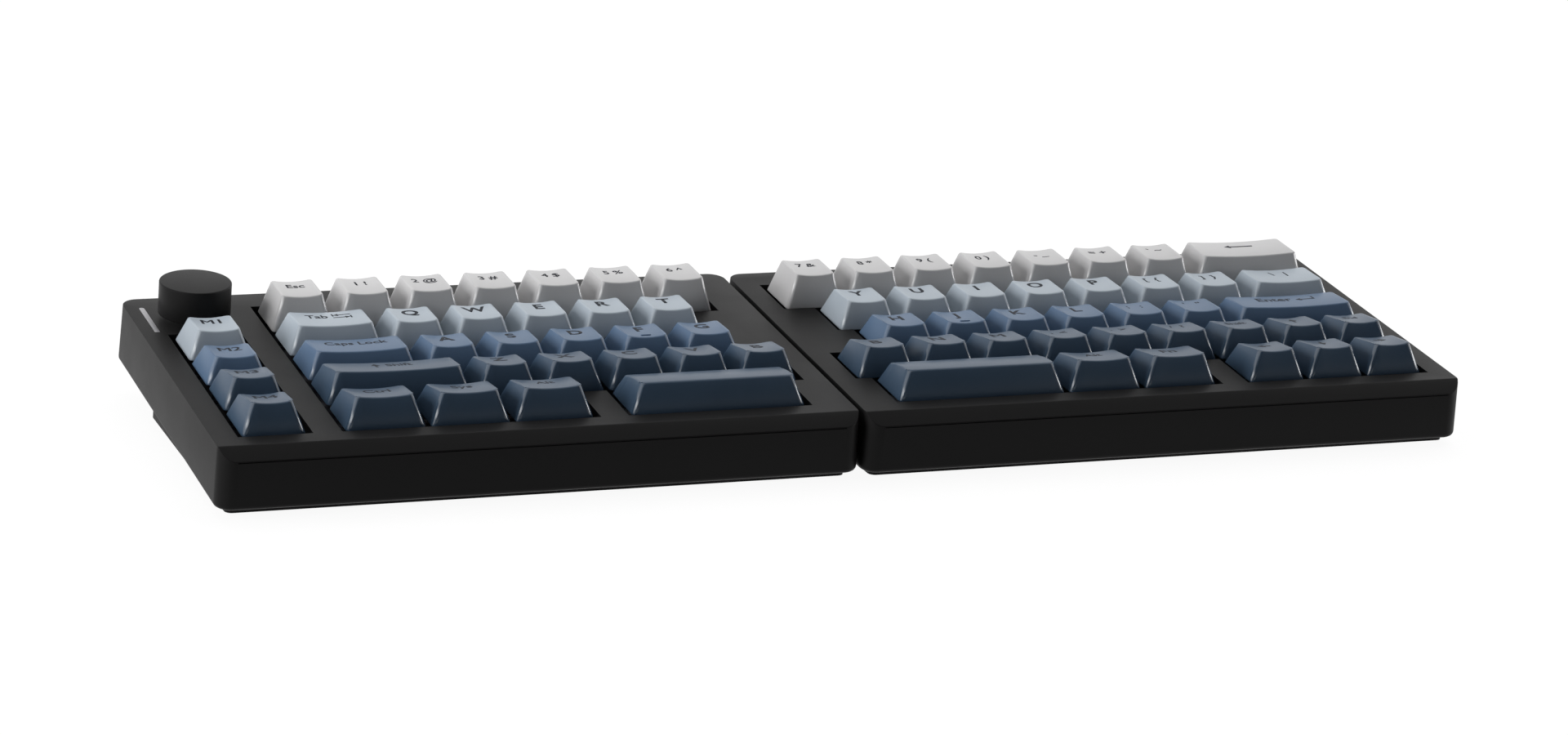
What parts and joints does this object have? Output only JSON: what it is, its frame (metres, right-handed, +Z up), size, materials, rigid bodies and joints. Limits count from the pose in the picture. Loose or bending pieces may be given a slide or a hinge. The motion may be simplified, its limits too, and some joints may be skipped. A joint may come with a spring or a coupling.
{
  "type": "split keyboard",
  "caption": "Ergonomic split mechanical keyboard: two tilted matt black halves with sculpted keys graded from grey to navy, a macro column and a knob.",
  "frame": {"origin": "middle of the footprint of the two halves side by side, on the desk", "axes": "+X to the typist's right, +Y away from the typist, +Z up"},
  "size_m": [0.3714, 0.1192, 0.0366],
  "materials": {
    "case": "fine matt texture",
    "base": "matt",
    "plate": "satin",
    "board": "lacquered",
    "switch": "smooth",
    "gasket": "matt",
    "foot": "matt",
    "screw": "dark zinc",
    "socket": "bright",
    "light": "translucent, unlit",
    "knob": "matt",
    "cap_grey": "fine matt texture",
    "cap_pale_blue": "fine matt texture",
    "cap_blue": "fine matt texture",
    "cap_navy": "fine matt texture"
  },
  "bodies": {
    "left_half": {"left_top_case": "case", "left_bottom_case": "base", "left_plate": "plate", "left_circuit_board": "board", "left_switch_housings": "switch", "left_stabilisers": "switch", "left_gaskets": "gasket", "left_feet": "foot", "left_screws": "screw", "left_usb_socket": "socket", "light_bar": "light", "encoder_body": "socket"},
    "right_half": {"right_top_case": "case", "right_bottom_case": "base", "right_plate": "plate", "right_circuit_board": "board", "right_switch_housings": "switch", "right_stabilisers": "switch", "right_gaskets": "gasket", "right_feet": "foot", "right_screws": "screw", "right_usb_socket": "socket"},
    "knob_plunger": {"encoder_plunger": "switch"},
    "knob": {"knob": "knob", "encoder_shaft": "socket"},
    "key_esc": {"key_esc": "cap_grey"},
    "keys_one_to_six": {"keys_one_to_six": "cap_grey"},
    "key_tab": {"key_tab": "cap_pale_blue"},
    "keys_q_to_t": {"keys_q_to_t": "cap_pale_blue"},
    "key_caps_lock": {"key_caps_lock": "cap_blue"},
    "keys_a_to_g": {"keys_a_to_g": "cap_blue"},
    "key_left_shift": {"key_left_shift": "cap_navy"},
    "keys_z_to_b": {"keys_z_to_b": "cap_navy"},
    "key_left_ctrl": {"key_left_ctrl": "cap_navy"},
    "key_left_system": {"key_left_system": "cap_navy"},
    "key_left_alt": {"key_left_alt": "cap_navy"},
    "key_left_space": {"key_left_space": "cap_navy"},
    "key_macro_one": {"key_macro_one": "cap_pale_blue"},
    "key_macro_two": {"key_macro_two": "cap_blue"},
    "key_macro_three": {"key_macro_three": "cap_navy"},
    "key_macro_four": {"key_macro_four": "cap_navy"},
    "keys_seven_to_grave": {"keys_seven_to_grave": "cap_grey"},
    "key_backspace": {"key_backspace": "cap_grey"},
    "keys_y_to_bracket": {"keys_y_to_bracket": "cap_pale_blue"},
    "key_backslash": {"key_backslash": "cap_pale_blue"},
    "keys_h_to_quote": {"keys_h_to_quote": "cap_blue"},
    "key_enter": {"key_enter": "cap_blue"},
    "keys_b_to_slash": {"keys_b_to_slash": "cap_navy"},
    "key_right_shift": {"key_right_shift": "cap_navy"},
    "key_up": {"key_up": "cap_navy"},
    "key_end": {"key_end": "cap_navy"},
    "key_right_space": {"key_right_space": "cap_navy"},
    "key_right_alt": {"key_right_alt": "cap_navy"},
    "key_fn": {"key_fn": "cap_navy"},
    "key_left_arrow": {"key_left_arrow": "cap_navy"},
    "key_down_arrow": {"key_down_arrow": "cap_navy"},
    "key_right_arrow": {"key_right_arrow": "cap_navy"}
  },
  "joints": [
    {"name": "halves_apart", "type": "slide", "parent": "left_half", "child": "right_half", "axis": [1, 0, 0], "range_m": [0, 0.2]},
    {"name": "key_esc_press", "type": "slide", "parent": "left_half", "child": "key_esc", "axis": [0, 0.0558, -0.9984], "range_m": [0, 0.004], "stiffness_N_per_m": 75, "springref_m": -0.004},
    {"name": "keys_one_to_six_press", "type": "slide", "parent": "left_half", "child": "keys_one_to_six", "axis": [0, 0.0558, -0.9984], "range_m": [0, 0.004], "stiffness_N_per_m": 450, "springref_m": -0.004},
    {"name": "key_tab_press", "type": "slide", "parent": "left_half", "child": "key_tab", "axis": [0, 0.0558, -0.9984], "range_m": [0, 0.004], "stiffness_N_per_m": 75, "springref_m": -0.004},
    {"name": "keys_q_to_t_press", "type": "slide", "parent": "left_half", "child": "keys_q_to_t", "axis": [0, 0.0558, -0.9984], "range_m": [0, 0.004], "stiffness_N_per_m": 375, "springref_m": -0.004},
    {"name": "key_caps_lock_press", "type": "slide", "parent": "left_half", "child": "key_caps_lock", "axis": [0, 0.0558, -0.9984], "range_m": [0, 0.004], "stiffness_N_per_m": 75, "springref_m": -0.004},
    {"name": "keys_a_to_g_press", "type": "slide", "parent": "left_half", "child": "keys_a_to_g", "axis": [0, 0.0558, -0.9984], "range_m": [0, 0.004], "stiffness_N_per_m": 375, "springref_m": -0.004},
    {"name": "key_left_shift_press", "type": "slide", "parent": "left_half", "child": "key_left_shift", "axis": [0, 0.0558, -0.9984], "range_m": [0, 0.004], "stiffness_N_per_m": 75, "springref_m": -0.004},
    {"name": "keys_z_to_b_press", "type": "slide", "parent": "left_half", "child": "keys_z_to_b", "axis": [0, 0.0558, -0.9984], "range_m": [0, 0.004], "stiffness_N_per_m": 375, "springref_m": -0.004},
    {"name": "key_left_ctrl_press", "type": "slide", "parent": "left_half", "child": "key_left_ctrl", "axis": [0, 0.0558, -0.9984], "range_m": [0, 0.004], "stiffness_N_per_m": 75, "springref_m": -0.004},
    {"name": "key_left_system_press", "type": "slide", "parent": "left_half", "child": "key_left_system", "axis": [0, 0.0558, -0.9984], "range_m": [0, 0.004], "stiffness_N_per_m": 75, "springref_m": -0.004},
    {"name": "key_left_alt_press", "type": "slide", "parent": "left_half", "child": "key_left_alt", "axis": [0, 0.0558, -0.9984], "range_m": [0, 0.004], "stiffness_N_per_m": 75, "springref_m": -0.004},
    {"name": "key_left_space_press", "type": "slide", "parent": "left_half", "child": "key_left_space", "axis": [0, 0.0558, -0.9984], "range_m": [0, 0.004], "stiffness_N_per_m": 75, "springref_m": -0.004},
    {"name": "key_macro_one_press", "type": "slide", "parent": "left_half", "child": "key_macro_one", "axis": [0, 0.0558, -0.9984], "range_m": [0, 0.004], "stiffness_N_per_m": 75, "springref_m": -0.004},
    {"name": "key_macro_two_press", "type": "slide", "parent": "left_half", "child": "key_macro_two", "axis": [0, 0.0558, -0.9984], "range_m": [0, 0.004], "stiffness_N_per_m": 75, "springref_m": -0.004},
    {"name": "key_macro_three_press", "type": "slide", "parent": "left_half", "child": "key_macro_three", "axis": [0, 0.0558, -0.9984], "range_m": [0, 0.004], "stiffness_N_per_m": 75, "springref_m": -0.004},
    {"name": "key_macro_four_press", "type": "slide", "parent": "left_half", "child": "key_macro_four", "axis": [0, 0.0558, -0.9984], "range_m": [0, 0.004], "stiffness_N_per_m": 75, "springref_m": -0.004},
    {"name": "keys_seven_to_grave_press", "type": "slide", "parent": "right_half", "child": "keys_seven_to_grave", "axis": [0, 0.0558, -0.9984], "range_m": [0, 0.004], "stiffness_N_per_m": 525, "springref_m": -0.004},
    {"name": "key_backspace_press", "type": "slide", "parent": "right_half", "child": "key_backspace", "axis": [0, 0.0558, -0.9984], "range_m": [0, 0.004], "stiffness_N_per_m": 75, "springref_m": -0.004},
    {"name": "keys_y_to_bracket_press", "type": "slide", "parent": "right_half", "child": "keys_y_to_bracket", "axis": [0, 0.0558, -0.9984], "range_m": [0, 0.004], "stiffness_N_per_m": 525, "springref_m": -0.004},
    {"name": "key_backslash_press", "type": "slide", "parent": "right_half", "child": "key_backslash", "axis": [0, 0.0558, -0.9984], "range_m": [0, 0.004], "stiffness_N_per_m": 75, "springref_m": -0.004},
    {"name": "keys_h_to_quote_press", "type": "slide", "parent": "right_half", "child": "keys_h_to_quote", "axis": [0, 0.0558, -0.9984], "range_m": [0, 0.004], "stiffness_N_per_m": 450, "springref_m": -0.004},
    {"name": "key_enter_press", "type": "slide", "parent": "right_half", "child": "key_enter", "axis": [0, 0.0558, -0.9984], "range_m": [0, 0.004], "stiffness_N_per_m": 75, "springref_m": -0.004},
    {"name": "keys_b_to_slash_press", "type": "slide", "parent": "right_half", "child": "keys_b_to_slash", "axis": [0, 0.0558, -0.9984], "range_m": [0, 0.004], "stiffness_N_per_m": 450, "springref_m": -0.004},
    {"name": "key_right_shift_press", "type": "slide", "parent": "right_half", "child": "key_right_shift", "axis": [0, 0.0558, -0.9984], "range_m": [0, 0.004], "stiffness_N_per_m": 75, "springref_m": -0.004},
    {"name": "key_up_press", "type": "slide", "parent": "right_half", "child": "key_up", "axis": [0, 0.0558, -0.9984], "range_m": [0, 0.004], "stiffness_N_per_m": 75, "springref_m": -0.004},
    {"name": "key_end_press", "type": "slide", "parent": "right_half", "child": "key_end", "axis": [0, 0.0558, -0.9984], "range_m": [0, 0.004], "stiffness_N_per_m": 75, "springref_m": -0.004},
    {"name": "key_right_space_press", "type": "slide", "parent": "right_half", "child": "key_right_space", "axis": [0, 0.0558, -0.9984], "range_m": [0, 0.004], "stiffness_N_per_m": 75, "springref_m": -0.004},
    {"name": "key_right_alt_press", "type": "slide", "parent": "right_half", "child": "key_right_alt", "axis": [0, 0.0558, -0.9984], "range_m": [0, 0.004], "stiffness_N_per_m": 75, "springref_m": -0.004},
    {"name": "key_fn_press", "type": "slide", "parent": "right_half", "child": "key_fn", "axis": [0, 0.0558, -0.9984], "range_m": [0, 0.004], "stiffness_N_per_m": 75, "springref_m": -0.004},
    {"name": "key_left_arrow_press", "type": "slide", "parent": "right_half", "child": "key_left_arrow", "axis": [0, 0.0558, -0.9984], "range_m": [0, 0.004], "stiffness_N_per_m": 75, "springref_m": -0.004},
    {"name": "key_down_arrow_press", "type": "slide", "parent": "right_half", "child": "key_down_arrow", "axis": [0, 0.0558, -0.9984], "range_m": [0, 0.004], "stiffness_N_per_m": 75, "springref_m": -0.004},
    {"name": "key_right_arrow_press", "type": "slide", "parent": "right_half", "child": "key_right_arrow", "axis": [0, 0.0558, -0.9984], "range_m": [0, 0.004], "stiffness_N_per_m": 75, "springref_m": -0.004},
    {"name": "knob_press", "type": "slide", "parent": "left_half", "child": "knob_plunger", "axis": [0, 0.0558, -0.9984], "range_m": [0, 0.0005], "stiffness_N_per_m": 4000, "springref_m": -0.0005},
    {"name": "knob_turn", "type": "hinge", "parent": "knob_plunger", "child": "knob", "pos_m": [-0.16794, 0.04027, 0.02652], "axis": [0, -0.0558, 0.9984], "continuous": true}
  ]
}
